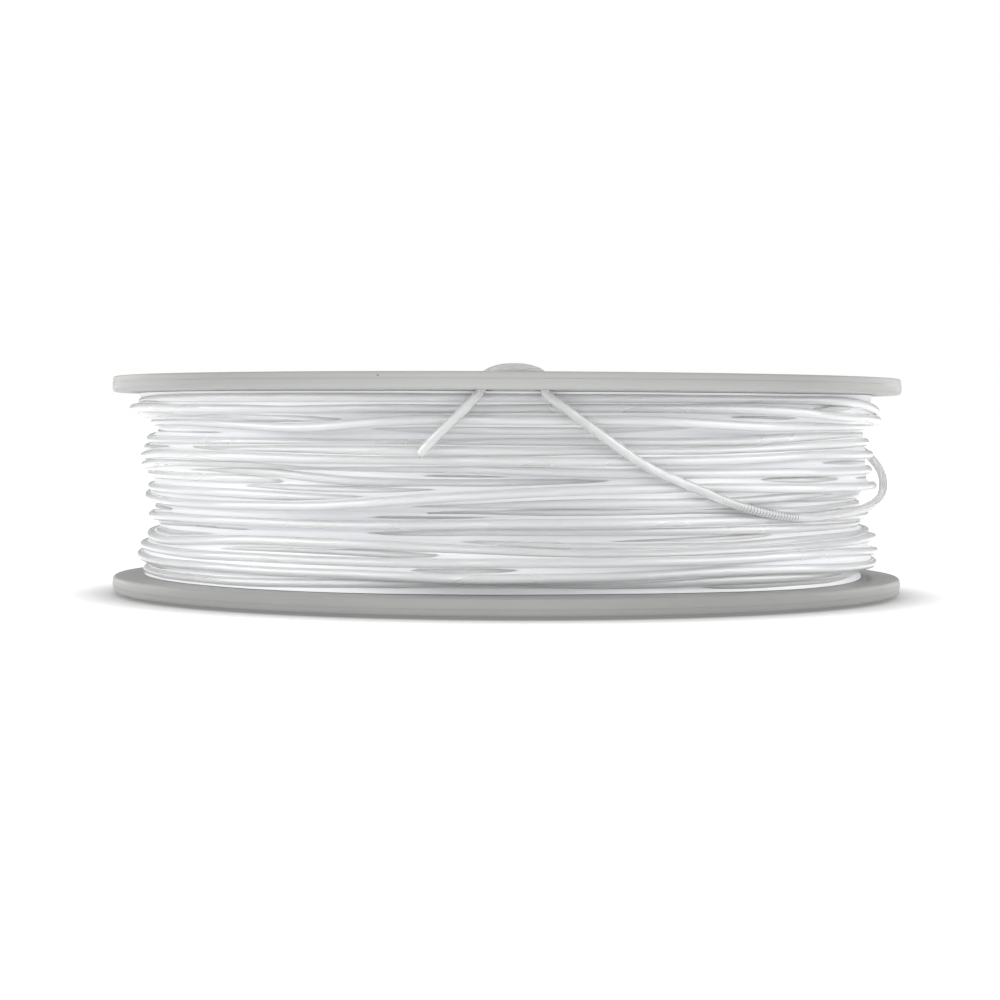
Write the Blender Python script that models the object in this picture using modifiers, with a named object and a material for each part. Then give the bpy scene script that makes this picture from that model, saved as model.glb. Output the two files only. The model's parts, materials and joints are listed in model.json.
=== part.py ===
"""A 200 mm line spool standing on its hub: two flanges, a ribbed drum, a snap-in arbor and the wound line.

Metres, +Z up. The origin is at the centre of the face that the spool stands on, on its turning axis.
Azimuths are degrees about +Z from +X, so the front of the spool is at -90.
"""

import math

import bmesh
import bpy
from mathutils import Vector

# Driving dimensions
FLANGE_R = 0.100
RIM_THICKNESS = 0.0040
RIM_GAP = 0.0459
HUB_PROUD = 0.0008
DRUM_R = 0.0525
BORE_R = 0.0175
LINE_D = 0.0021

# Clearance that neighbouring pieces keep
GAP = 0.0003

# Flange, as heights above the outer face of its own rim
RIM_STEP = 0.0016
RIM_SETBACK = 0.00025
RIM_FILLET = 0.0012
BEAD_INNER_R = 0.097
WEB_THICKNESS = 0.0026
WEB_LEAN = math.tan(math.radians(2.7))
SPIGOT_OUTER_R = 0.0497
SPIGOT_INNER_R = 0.0470
SPIGOT_HEIGHT = 0.0043
BOSS_OUTER_R = 0.0244
BOSS_FACE = 0.0004
WINDOW_INNER_R = 0.0250
WINDOW_OUTER_R = 0.0464
WINDOW_CORNER_R = 0.0025
SPOKE_WIDTH = 0.0080
SPOKES = 6

# The pair of holes near the rim that the end of the line is tucked through: on the lower flange
# it is at the back, so on the upper one, turned over, it is at the front
TUCK_HOLE_R = 0.0022
TUCK_CIRCLE_R = 0.0940
TUCK_AZIMUTH = 90
TUCK_HALF_SPREAD = 4.1

# Drum
DRUM_WALL = 0.0025
DRUM_POCKET_R = 0.0494
DRUM_RIB = 0.0024
DRUM_RING_OUTER_R = 0.0240
DRUM_POCKET_CORNER_R = 0.0015
ANCHOR_HOLE_R = 0.0015
ANCHOR_AZIMUTH = 186
ANCHOR_HEIGHT = 0.0140

# Arbor sleeve and its lock ring
SLEEVE_OUTER_R = 0.0197
HEAD_R = 0.0223
HEAD_THICKNESS = 0.0022
SNAP_BEAD = 0.0009
SNAP_BEAD_HEIGHT = 0.0006
SNAP_BELOW_TOP = 0.0009
SLIT_WIDTH = 0.0016
SLIT_LENGTH = 0.0110

# Wound line, as radii of the pack's outer side from its bottom to its top
PACK_SIDE = (0.0888, 0.0894, 0.0888, 0.0892, 0.0888, 0.0880, 0.0868)

# Free end of the line as (azimuth, radius, height): from the pack round a loose bow on the right,
# across the front, up through one tuck hole, over the flange, down the next and out to a bare end.
FREE_END_ROUTE = (
    (40, 0.0906, 0.0448),
    (30, 0.0914, 0.0438),
    (20, 0.0926, 0.0412),
    (9, 0.0941, 0.0371),
    (-1, 0.0952, 0.0324),
    (-8, 0.0956, 0.0284),
    (-15, 0.0951, 0.0250),
    (-24.5, 0.0941, 0.0229),
    (-34.3, 0.0927, 0.0218),
    (-43.2, 0.0921, 0.0216),
    (-50.0, 0.0920, 0.0228),
    (-56.9, 0.0920, 0.0252),
    (-63.7, 0.0921, 0.0290),
    (-71.1, 0.0924, 0.0338),
    (-77.6, 0.0928, 0.0405),
    (-82.2, 0.0934, 0.0458),
    (-85.4, 0.0939, 0.0495),
    (-85.9, 0.0940, 0.0518),
    (-86.2, 0.0941, 0.0540),
    (-87.9, 0.0942, 0.0552),
    (-90.1, 0.0942, 0.0555),
    (-92.2, 0.0942, 0.0551),
    (-93.8, 0.0941, 0.0538),
    (-94.1, 0.0940, 0.0518),
    (-94.8, 0.0940, 0.0497),
    (-97.1, 0.0941, 0.0456),
    (-99.9, 0.0941, 0.0412),
    (-102.8, 0.0940, 0.0363),
)

# Inner end of the line, through the drum wall and up inside it
INNER_END_ROUTE = (
    (186, 0.0524, 0.0140),
    (186, 0.0508, 0.0140),
    (186.1, 0.0490, 0.0143),
    (186.4, 0.0478, 0.0156),
    (186.6, 0.0474, 0.0176),
    (186.7, 0.0474, 0.0210),
    (186.8, 0.0475, 0.0260),
    (186.9, 0.0477, 0.0310),
    (187.0, 0.0479, 0.0350),
)

# Fineness
FLANGE_STEPS = 60
DRUM_STEPS = 60
HUB_STEPS = 48
ARC_STEP = math.radians(6)
ROUTE_SPACING = 2.0 * LINE_D
SHARP_ANGLE = math.radians(30)

# Heights that follow from the dimensions above
RIM_LOW = HUB_PROUD
TOP = 2 * HUB_PROUD + 2 * RIM_THICKNESS + RIM_GAP
WEB_RISE = (BEAD_INNER_R - DRUM_R) * WEB_LEAN
WEB_INNER = RIM_THICKNESS + WEB_RISE
WEB_OUTER = WEB_INNER - WEB_THICKNESS
BOSS_HEIGHT = WEB_INNER + SPIGOT_HEIGHT


def clear_scene():
    for piece in list(bpy.data.objects):
        bpy.data.objects.remove(piece, do_unlink=True)


def new_collection(name):
    made = bpy.data.collections.new(name)
    bpy.context.scene.collection.children.link(made)
    return made


def new_material(name, colour, roughness, transmission=0.0):
    made = bpy.data.materials.new(name)
    made.use_nodes = True
    shader = made.node_tree.nodes["Principled BSDF"]
    shader.inputs["Base Color"].default_value = (*colour, 1.0)
    shader.inputs["Roughness"].default_value = roughness
    shader.inputs["Metallic"].default_value = 0.0
    shader.inputs["Transmission Weight"].default_value = transmission
    return made


def cylindrical(azimuth, radius, height):
    """The point at an azimuth in degrees."""
    angle = math.radians(azimuth)
    return Vector((radius * math.cos(angle), radius * math.sin(angle), height))


def turned(name, profile, steps, collection, material=None):
    """A ring from a closed outline of (radius, height), listed down its outer side and up its inner one."""
    mesh = bpy.data.meshes.new(name)
    corners = [(radius, 0, height) for radius, height in profile]
    sides = [(i, (i + 1) % len(corners)) for i in range(len(corners))]
    mesh.from_pydata(corners, sides, [])
    ring = bpy.data.objects.new(name, mesh)
    collection.objects.link(ring)
    screw = ring.modifiers.new("turn", "SCREW")
    screw.axis = "Z"
    screw.angle = math.tau
    screw.steps = steps
    screw.render_steps = steps
    screw.use_merge_vertices = True
    screw.merge_threshold = 0.00001
    if material:
        mesh.materials.append(material)
    return ring


def cutter_from(name, form, collection):
    mesh = bpy.data.meshes.new(name)
    bmesh.ops.recalc_face_normals(form, faces=form.faces)
    form.to_mesh(mesh)
    form.free()
    tool = bpy.data.objects.new(name, mesh)
    collection.objects.link(tool)
    tool.hide_render = True
    tool.display_type = "WIRE"
    return tool


def cut(piece, tool):
    boolean = piece.modifiers.new(tool.name, "BOOLEAN")
    boolean.operation = "DIFFERENCE"
    boolean.solver = "EXACT"
    boolean.object = tool


def settle(piece):
    """Makes the piece's modifiers part of its mesh, and shades it smooth between its real edges."""
    graph = bpy.context.evaluated_depsgraph_get()
    mesh = bpy.data.meshes.new_from_object(piece.evaluated_get(graph))
    piece.modifiers.clear()
    piece.data = mesh
    mesh.name = piece.name
    mesh.shade_smooth()
    mesh.set_sharp_from_angle(angle=SHARP_ANGLE)
    return piece


def arc(radius, start, end):
    """Points (x, y) along an arc, about one every ARC_STEP."""
    count = max(2, round(abs(end - start) / ARC_STEP))
    angles = [start + (end - start) * i / count for i in range(count + 1)]
    return [(radius * math.cos(angle), radius * math.sin(angle)) for angle in angles]


def sector_windows(name, inner_r, outer_r, bar, corner_r, low, high, collection):
    """A cutter for the spaces between equal radial bars of one width."""
    form = bmesh.new()
    for index in range(SPOKES):
        start = math.tau * index / SPOKES
        end = start + math.tau / SPOKES
        inner_off = math.asin(bar / 2 / inner_r)
        outer_off = math.asin(bar / 2 / outer_r)
        outline = arc(inner_r, start + inner_off, end - inner_off)
        outline += arc(outer_r, end - outer_off, start + outer_off)
        inner_last = len(arc(inner_r, start + inner_off, end - inner_off)) - 1
        corners = {0, inner_last, inner_last + 1, len(outline) - 1}
        floor = [form.verts.new((x, y, low)) for x, y in outline]
        roof = [form.verts.new((x, y, high)) for x, y in outline]
        form.faces.new(reversed(floor))
        form.faces.new(roof)
        upright = []
        for i, vertex in enumerate(floor):
            following = (i + 1) % len(floor)
            form.faces.new((vertex, floor[following], roof[following], roof[i]))
            if i in corners:
                upright.append(form.edges.get((vertex, roof[i])))
        bmesh.ops.bevel(form, geom=upright, offset=corner_r, segments=3, profile=0.5, affect="EDGES")
    return cutter_from(name, form, collection)


def upright_hole(form, radius, depth, middle):
    """Adds a round cutter along Z, centred on a point."""
    hole = bmesh.ops.create_cone(
        form, cap_ends=True, segments=16, radius1=radius, radius2=radius, depth=depth
    )
    bmesh.ops.translate(form, verts=hole["verts"], vec=middle)


def tuck_holes(name, collection):
    """A cutter for the pair of holes near the lower flange's rim."""
    form = bmesh.new()
    for side in (-1, 1):
        azimuth = TUCK_AZIMUTH + side * TUCK_HALF_SPREAD
        middle = cylindrical(azimuth, TUCK_CIRCLE_R, RIM_LOW + RIM_THICKNESS / 2)
        upright_hole(form, TUCK_HOLE_R, 4 * RIM_THICKNESS, middle)
    return cutter_from(name, form, collection)


def box_cutter(name, size, middle, collection):
    form = bmesh.new()
    bmesh.ops.create_cube(form, size=1.0)
    bmesh.ops.scale(form, vec=size, verts=form.verts)
    bmesh.ops.translate(form, vec=middle, verts=form.verts)
    return cutter_from(name, form, collection)


def flange_profile():
    """The lower flange's section. Its outer face is below and the drum side above."""
    seat_r = HEAD_R + GAP
    seat = HEAD_THICKNESS - HUB_PROUD + GAP
    bore_r = SLEEVE_OUTER_R + GAP
    band_r = FLANGE_R - RIM_SETBACK
    heights_above_rim = (
        (FLANGE_R - RIM_FILLET, RIM_THICKNESS),
        (FLANGE_R - 0.3 * RIM_FILLET, RIM_THICKNESS - 0.3 * RIM_FILLET),
        (FLANGE_R, RIM_THICKNESS - RIM_FILLET),
        (FLANGE_R, RIM_STEP),
        (band_r, RIM_STEP),
        (band_r, RIM_FILLET),
        (band_r - 0.3 * RIM_FILLET, 0.3 * RIM_FILLET),
        (band_r - RIM_FILLET, 0),
        (BEAD_INNER_R, 0),
        (BEAD_INNER_R, RIM_THICKNESS - WEB_THICKNESS),
        (DRUM_R, WEB_OUTER),
        (BOSS_OUTER_R, WEB_OUTER),
        (BOSS_OUTER_R, BOSS_FACE),
        (seat_r, BOSS_FACE),
        (seat_r, seat),
        (bore_r, seat),
        (bore_r, BOSS_HEIGHT),
        (BOSS_OUTER_R, BOSS_HEIGHT),
        (BOSS_OUTER_R, WEB_INNER),
        (SPIGOT_INNER_R, WEB_INNER),
        (SPIGOT_INNER_R, BOSS_HEIGHT),
        (SPIGOT_OUTER_R, BOSS_HEIGHT),
        (SPIGOT_OUTER_R, WEB_INNER),
        (DRUM_R, WEB_INNER),
        (BEAD_INNER_R, RIM_THICKNESS),
    )
    return [(radius, RIM_LOW + height) for radius, height in heights_above_rim]


def make_flanges(parts, cutters, material):
    """Two mouldings from one tool. The upper one is turned over about the X axis."""
    lower = turned("lower_flange", flange_profile(), FLANGE_STEPS, parts, material)
    windows = sector_windows(
        "flange_windows",
        WINDOW_INNER_R,
        WINDOW_OUTER_R,
        SPOKE_WIDTH,
        WINDOW_CORNER_R,
        -RIM_THICKNESS,
        3 * BOSS_HEIGHT,
        cutters,
    )
    cut(lower, windows)
    cut(lower, tuck_holes("tuck_holes", cutters))
    settle(lower)
    upper = bpy.data.objects.new("upper_flange", lower.data)
    upper.location.z = TOP
    upper.rotation_euler.x = math.pi
    parts.objects.link(upper)


def make_drum(parts, cutters, material):
    """The tube that the line is wound on, with ribs to a ring round the arbor."""
    end_low = RIM_LOW + WEB_INNER + GAP
    end_high = TOP - end_low
    rib_low = RIM_LOW + BOSS_HEIGHT + GAP
    rib_high = TOP - rib_low
    inside_r = DRUM_R - DRUM_WALL
    ring_r = SLEEVE_OUTER_R + GAP
    profile = (
        (DRUM_R, end_high),
        (DRUM_R, end_low),
        (inside_r, end_low),
        (inside_r, rib_low),
        (ring_r, rib_low),
        (ring_r, rib_high),
        (inside_r, rib_high),
        (inside_r, end_high),
    )
    drum = turned("hub_drum", profile, DRUM_STEPS, parts, material)
    pockets = sector_windows(
        "drum_pockets",
        DRUM_RING_OUTER_R,
        DRUM_POCKET_R,
        DRUM_RIB,
        DRUM_POCKET_CORNER_R,
        -TOP,
        2 * TOP,
        cutters,
    )
    cut(drum, pockets)
    form = bmesh.new()
    upright_hole(form, ANCHOR_HOLE_R, 6 * DRUM_WALL, (0, 0, 0))
    anchor = cutter_from("anchor_hole", form, cutters)
    anchor.rotation_euler = (0, math.pi / 2, math.radians(ANCHOR_AZIMUTH))
    anchor.location = cylindrical(ANCHOR_AZIMUTH, DRUM_R, ANCHOR_HEIGHT)
    cut(drum, anchor)
    settle(drum)


def make_arbor(parts, cutters, sleeve_material, ring_material):
    """The sleeve that forms the bore, pushed in from below, and the ring that it snaps into on top."""
    top = TOP - GAP
    bead_high = top - SNAP_BELOW_TOP
    bead_low = bead_high - SNAP_BEAD_HEIGHT
    bead_r = SLEEVE_OUTER_R + SNAP_BEAD
    sleeve_profile = (
        (SLEEVE_OUTER_R, top),
        (SLEEVE_OUTER_R, bead_high + SNAP_BEAD_HEIGHT),
        (bead_r, bead_high),
        (bead_r, bead_low),
        (SLEEVE_OUTER_R, bead_low),
        (SLEEVE_OUTER_R, HEAD_THICKNESS),
        (HEAD_R, HEAD_THICKNESS),
        (HEAD_R, 0),
        (BORE_R, 0),
        (BORE_R, top),
    )
    sleeve = turned("arbor_sleeve", sleeve_profile, HUB_STEPS, parts, sleeve_material)
    slit_middle = (0, 0, TOP)
    for name, size in (
        ("slit_across", (4 * BORE_R, SLIT_WIDTH, 2 * SLIT_LENGTH)),
        ("slit_along", (SLIT_WIDTH, 4 * BORE_R, 2 * SLIT_LENGTH)),
    ):
        cut(sleeve, box_cutter(name, size, slit_middle, cutters))
    settle(sleeve)

    ring_inner_r = SLEEVE_OUTER_R + GAP
    groove_r = bead_r + GAP
    ring_profile = (
        (HEAD_R, TOP),
        (HEAD_R, TOP - HEAD_THICKNESS),
        (ring_inner_r, TOP - HEAD_THICKNESS),
        (ring_inner_r, bead_low - GAP),
        (groove_r, bead_low - GAP),
        (groove_r, bead_high + GAP),
        (ring_inner_r, bead_high + GAP + SNAP_BEAD),
        (ring_inner_r, TOP),
    )
    settle(turned("arbor_lock_ring", ring_profile, HUB_STEPS, parts, ring_material))


def make_pack(parts, material):
    """The wound line as one ring that fills the spool between the leaning flanges."""
    inner_r = DRUM_R + GAP
    side = []
    for index, radius in enumerate(PACK_SIDE):
        lean = (BEAD_INNER_R - radius) * WEB_LEAN
        low = RIM_LOW + RIM_THICKNESS + lean + GAP
        height = low + (TOP - 2 * low) * index / (len(PACK_SIDE) - 1)
        side.append((radius, height))
    inner_low = RIM_LOW + WEB_INNER + GAP
    profile = side[::-1] + [(inner_r, inner_low), (inner_r, TOP - inner_low)]
    settle(turned("line_pack", profile, FLANGE_STEPS, parts, material))


def smooth_route(route, spacing):
    """Evenly spaced points on a smooth curve through (azimuth, radius, height) points."""
    knots = [cylindrical(*point) for point in route]
    knots = [2 * knots[0] - knots[1], *knots, 2 * knots[-1] - knots[-2]]
    fine = []
    for before, start, end, after in zip(knots, knots[1:], knots[2:], knots[3:]):
        for step in range(20):
            t = step / 20
            fine.append(
                0.5
                * (
                    2 * start
                    + (end - before) * t
                    + (2 * before - 5 * start + 4 * end - after) * t**2
                    + (3 * start - before - 3 * end + after) * t**3
                )
            )
    fine.append(knots[-2])
    travelled = [0.0]
    for a, b in zip(fine, fine[1:]):
        travelled.append(travelled[-1] + (b - a).length)
    count = round(travelled[-1] / spacing)
    points = []
    segment = 0
    for i in range(count + 1):
        wanted = travelled[-1] * i / count
        while segment < len(fine) - 2 and travelled[segment + 1] < wanted:
            segment += 1
        share = (wanted - travelled[segment]) / (travelled[segment + 1] - travelled[segment])
        points.append(fine[segment].lerp(fine[segment + 1], share))
    return points


def make_line_end(name, route, spacing, parts, material):
    curve = bpy.data.curves.new(name, "CURVE")
    curve.dimensions = "3D"
    curve.bevel_depth = LINE_D / 2
    curve.bevel_resolution = 2
    curve.use_fill_caps = True
    spline = curve.splines.new("POLY")
    points = smooth_route(route, spacing)
    spline.points.add(len(points) - 1)
    for slot, point in zip(spline.points, points):
        slot.co = (*point, 1)
    curve.materials.append(material)
    parts.objects.link(bpy.data.objects.new(name, curve))


def main():
    clear_scene()
    parts = new_collection("line_spool")
    cutters = new_collection("cutters")
    flange_plastic = new_material("flange_plastic", (0.62, 0.61, 0.59), 0.42)
    hub_plastic = new_material("hub_plastic", (0.56, 0.55, 0.53), 0.45)
    arbor_plastic = new_material("arbor_plastic", (0.66, 0.66, 0.64), 0.35)
    line = new_material("clear_line", (0.86, 0.88, 0.90), 0.15, transmission=0.6)
    make_flanges(parts, cutters, flange_plastic)
    make_drum(parts, cutters, hub_plastic)
    make_arbor(parts, cutters, arbor_plastic, arbor_plastic)
    make_pack(parts, line)
    make_line_end("line_free_end", FREE_END_ROUTE, ROUTE_SPACING, parts, line)
    make_line_end("line_inner_end", INNER_END_ROUTE, LINE_D, parts, line)


main()
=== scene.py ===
"""Looks of the 200 mm line spool: moulded flanges, drum and arbor, and the wound clear line, turn by turn.

Metres, +Z up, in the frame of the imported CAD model. Azimuths are degrees about +Z from +X.
"""

import json
import math

import bmesh
import bpy
import numpy as np
from mathutils import Matrix, Vector

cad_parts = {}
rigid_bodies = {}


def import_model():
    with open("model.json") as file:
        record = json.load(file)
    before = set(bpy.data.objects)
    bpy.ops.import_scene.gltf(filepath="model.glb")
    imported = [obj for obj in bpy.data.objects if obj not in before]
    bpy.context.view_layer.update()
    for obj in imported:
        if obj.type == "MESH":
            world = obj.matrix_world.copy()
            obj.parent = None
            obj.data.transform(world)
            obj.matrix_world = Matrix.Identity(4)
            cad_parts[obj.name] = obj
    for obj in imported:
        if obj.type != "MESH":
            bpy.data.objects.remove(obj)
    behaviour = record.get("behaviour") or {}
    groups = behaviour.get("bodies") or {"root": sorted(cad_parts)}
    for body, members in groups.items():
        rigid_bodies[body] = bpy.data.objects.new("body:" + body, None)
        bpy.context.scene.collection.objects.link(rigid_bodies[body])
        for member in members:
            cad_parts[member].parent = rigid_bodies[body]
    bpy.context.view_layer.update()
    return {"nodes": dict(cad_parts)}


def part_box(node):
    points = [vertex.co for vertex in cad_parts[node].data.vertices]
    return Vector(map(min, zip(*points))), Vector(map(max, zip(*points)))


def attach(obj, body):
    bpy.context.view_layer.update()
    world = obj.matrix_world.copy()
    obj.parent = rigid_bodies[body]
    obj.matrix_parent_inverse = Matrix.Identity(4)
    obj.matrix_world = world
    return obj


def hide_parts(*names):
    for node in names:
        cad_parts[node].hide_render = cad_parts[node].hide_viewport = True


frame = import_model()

# Sizes read from the frame
FLANGE_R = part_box("upper_flange")[1].x
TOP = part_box("arbor_lock_ring")[1].z
RIM_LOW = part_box("lower_flange")[0].z
DRUM_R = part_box("hub_drum")[1].x
HEAD_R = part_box("arbor_sleeve")[1].x
BOSS_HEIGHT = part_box("lower_flange")[1].z - RIM_LOW
SLEEVE_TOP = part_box("arbor_sleeve")[1].z

# Sizes of the mouldings that no box gives, as in the CAD model
RIM_THICKNESS = 0.0040
RIM_STEP = 0.0016
RIM_SETBACK = 0.00012  # half the CAD model's, for a fainter parting line
RIM_FILLET = 0.0012
BEAD_INNER_R = 0.097
WEB_THICKNESS = 0.0026
WEB_LEAN = math.tan(math.radians(2.7))
SPIGOT_OUTER_R = 0.0497
SPIGOT_INNER_R = 0.0470
BOSS_OUTER_R = 0.0244
BOSS_FACE = 0.0004
SLEEVE_OUTER_R = 0.0197
BORE_R = 0.0175
HEAD_THICKNESS = 0.0022
GAP = 0.0003
REST_GAP = 0.0001  # between the wound line and a flange that it leans on
WEB_INNER = RIM_THICKNESS + (BEAD_INNER_R - DRUM_R) * WEB_LEAN
WEB_OUTER = WEB_INNER - WEB_THICKNESS
SPOKES = 6
SPOKE_WIDTH = 0.0080
WINDOW_INNER_R = 0.0250
WINDOW_OUTER_R = 0.0464
WINDOW_CORNER_R = 0.0025
PLATE_OUTER_R = 0.0522
PLATE_INNER_R = 0.0235
PLATE_EDGE = 0.0003
TUCK_HOLE_R = 0.0022
TUCK_CIRCLE_R = 0.0940
TUCK_AZIMUTH = 90
TUCK_HALF_SPREAD = 4.1
SNAP_BEAD = 0.0009
SNAP_BEAD_HEIGHT = 0.0006
SNAP_BELOW_TOP = 0.0009
SLIT_WIDTH = 0.0016
SLIT_LENGTH = 0.0110

# The line
LINE_D = 0.0021
LINE_R = LINE_D / 2
CRAZE_FROM = 0.1385  # metres along the free end where a bend has crazed it
CRAZE_TO = 0.1680
CRAZE_FADE = 0.012
CRAZE_PITCH = 0.001

# Winding
WINDING_SEED = 3
STEPS = 180  # points in one turn of wound line
CELL = 0.0001  # height of one cell of the surface that the turns lie on
CELLS = 562
STRAY_CELLS = 18  # how far a turn may stray from where the winding aims
STRAY_COST = 0.12
SWERVE_COST = 12
OVERLAP = 16  # points looked at beyond each end of a turn
OUTSIDE_COST = 1000
START_PULL = 40  # how firmly a turn starts where the last one ended
PACK_LOW = 0.0064
PACK_HIGH = 0.0491
CORE_R = 0.0804  # centre of the first simulated layer
LAYERS = 4
CORE_DEPTH = 0.0006  # how far the merged turns below lie under the tops of the outer ones
CORE_ROW = 4  # cells in one row of the core's mesh
CORE_WRAP = 12  # steps repeated past the seam while the core is smoothed
DEEP_SLACK = 0.3  # how much of the slack the layers under the last one keep
CROSSING_HALF_ANGLE = 2.5  # degrees to each side of the free end that it presses on
CROSSING_HALF_HEIGHT = 1.1 * LINE_D
BLEND_POINTS = 25  # over which the last turn comes to the free end's start
QUIET_POINTS = 60  # over which its wandering dies away
# The last, loose turns as (turn, azimuth, height in mm)
LOOSE_KNOTS = (
    (0, 40, 48.9),
    (0, -30, 49.1),
    (0, -150, 49.1),
    (0, -173, 48.4),
    (0, -270, 48.9),
    (1, 40, 48.7),
    (1, -60, 45.6),
    (1, -98, 41.5),
    (1, -136, 48.2),
    (1, -173, 47.1),
    (1, -270, 45.0),
    (2, -8, 44.5),
    (2, -60, 44.0),
    (2, -120, 43.2),
    (2, -173, 44.0),
    (2, -270, 42.5),
    (3, -8, 41.9),
    (3, -70, 40.3),
    (3, -130, 39.4),
    (3, -173, 40.1),
    (3, -270, 37.0),
    (4, -8, 38.2),
    (4, -60, 37.7),
    (4, -120, 38.4),
    (4, -173, 37.0),
    (4, -270, 34.0),
    (5, -8, 30.9),
    (5, -90, 30.8),
    (5, -173, 31.4),
    (5, -260, 28.6),
    (6, -8, 26.8),
    (6, -60, 24.5),
    (6, -120, 27.3),
    (6, -173, 29.0),
    (6, -260, 23.0),
    (7, -8, 21.3),
    (7, -70, 20.3),
    (7, -130, 22.3),
    (7, -173, 21.3),
    (7, -260, 18.0),
    (8, -8, 16.8),
    (8, -50, 14.5),
    (8, -130, 15.2),
    (8, -173, 16.3),
    (8, -260, 13.0),
    (9, -8, 12.5),
    (9, -60, 10.9),
    (9, -120, 11.6),
    (9, -173, 12.5),
    (9, -260, 9.0),
    (10, -8, 7.2),
    (10, -60, 6.5),
    (10, -130, 6.5),
    (10, -173, 6.9),
    (10, -260, 6.6),
    (11, -8, 6.5),
    (11, -60, 6.9),
    (11, -130, 6.4),
    (11, -173, 7.0),
    (11, -260, 6.8),
    (12, -8, 6.8),
    (12, -70, 8.2),
    (12, -130, 8.4),
    (12, -173, 7.5),
    (12, -260, 9.0),
    (13, -8, 9.7),
    (13, -60, 13.3),
    (13, -120, 10.2),
    (13, -173, 9.3),
    (13, -260, 19.0),
    (14, -8, 28.9),
    (14, -60, 28.0),
    (14, -130, 25.0),
    (14, -173, 26.0),
    (14, -260, 33.0),
    (15, -8, 35.2),
    (15, -50, 34.2),
    (15, -130, 33.4),
    (15, -173, 35.0),
    (15, -260, 39.0),
    (16, -8, 46.8),
    (16, -50, 49.1),
    (16, -140, 49.1),
    (16, -173, 46.2),
    (16, -260, 43.6),
    (17, 30, 41.6),
    (17, -40, 44.4),
    (17, -70, 46.9),
    (17, -150, 46.2),
    (17, -260, 43.0),
    (18, 40, 44.8),
)

# Studio
SPOOL_MIDDLE = 0.028
WORLD_LIGHT = 0.45
FLOOR_SIZE = 60.0
# The floor's glow under the spool is dimmed: a painted shadow
FLOOR_GLOW_IN_PAINTED_SHADOW = 0.16  # under the spool
FLOOR_GLOW_FAR = 0.75
# Softboxes as (name, azimuth from the camera, elevation, distance, size, strength)
LINE_SOFTBOXES = (
    ("softbox_left", -70, 12, 1.1, (1.25, 1.1), 9.0),
    ("softbox_right", 70, 12, 1.1, (1.25, 1.1), 9.0),
    ("strip", -12.5, 6, 1.3, (0.16, 1.2), 11.0),
)
PLASTIC_SOFTBOXES = (
    ("front", -8, 2, 1.6, (2.2, 0.8), 4.9),
    ("top", 0, 80, 1.4, (1.6, 1.6), 3.5),
    ("back_left", -125, 8, 1.3, (1.4, 0.9), 4.0),
    ("back_right", 125, 8, 1.3, (1.4, 0.9), 4.0),
)
# A light that lies on the floor before the spool and shines up
TABLE_DISTANCE = 0.36
TABLE_HEIGHT = 0.001
TABLE_SIZE = (0.9, 0.44)
TABLE_POWER = 1.8

# The free end's route as (azimuth, radius, height), the same points as in the CAD model
FREE_END_ROUTE = (
    (40, 0.0906, 0.0448),
    (30, 0.0914, 0.0438),
    (20, 0.0926, 0.0412),
    (9, 0.0941, 0.0371),
    (-1, 0.0952, 0.0324),
    (-8, 0.0956, 0.0284),
    (-15, 0.0951, 0.0250),
    (-24.5, 0.0941, 0.0229),
    (-34.3, 0.0927, 0.0218),
    (-43.2, 0.0921, 0.0216),
    (-50.0, 0.0920, 0.0228),
    (-56.9, 0.0920, 0.0252),
    (-63.7, 0.0921, 0.0290),
    (-71.1, 0.0924, 0.0338),
    (-77.6, 0.0928, 0.0405),
    (-82.2, 0.0934, 0.0458),
    (-85.4, 0.0939, 0.0495),
    (-85.9, 0.0940, 0.0518),
    (-86.2, 0.0941, 0.0540),
    (-87.9, 0.0942, 0.0552),
    (-90.1, 0.0942, 0.0555),
    (-92.2, 0.0942, 0.0551),
    (-93.8, 0.0941, 0.0538),
    (-94.1, 0.0940, 0.0518),
    (-94.8, 0.0940, 0.0497),
    (-97.1, 0.0941, 0.0456),
    (-99.9, 0.0941, 0.0412),
    (-102.8, 0.0940, 0.0363),
)
INNER_END_ROUTE = (
    (186, 0.0524, 0.0140),
    (186, 0.0508, 0.0140),
    (186.1, 0.0490, 0.0143),
    (186.4, 0.0478, 0.0156),
    (186.6, 0.0474, 0.0176),
    (186.7, 0.0474, 0.0210),
    (186.8, 0.0475, 0.0260),
    (186.9, 0.0477, 0.0310),
    (187.0, 0.0479, 0.0350),
)


def cylindrical(azimuth, radius, height):
    """The point at an azimuth in degrees."""
    angle = math.radians(azimuth)
    return Vector((radius * math.cos(angle), radius * math.sin(angle), height))


# Camera

CAMERA_AZIMUTH = -90.9
CAMERA_DISTANCE = 0.6795
CAMERA_HEIGHT = 0.0431
CAMERA_TILT = math.radians(1.642)
CAMERA_PAN = math.radians(-0.141)
CAMERA_ROLL = math.radians(0.233)
CAMERA_LENS = 95.37
SENSOR = 36.0


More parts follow.
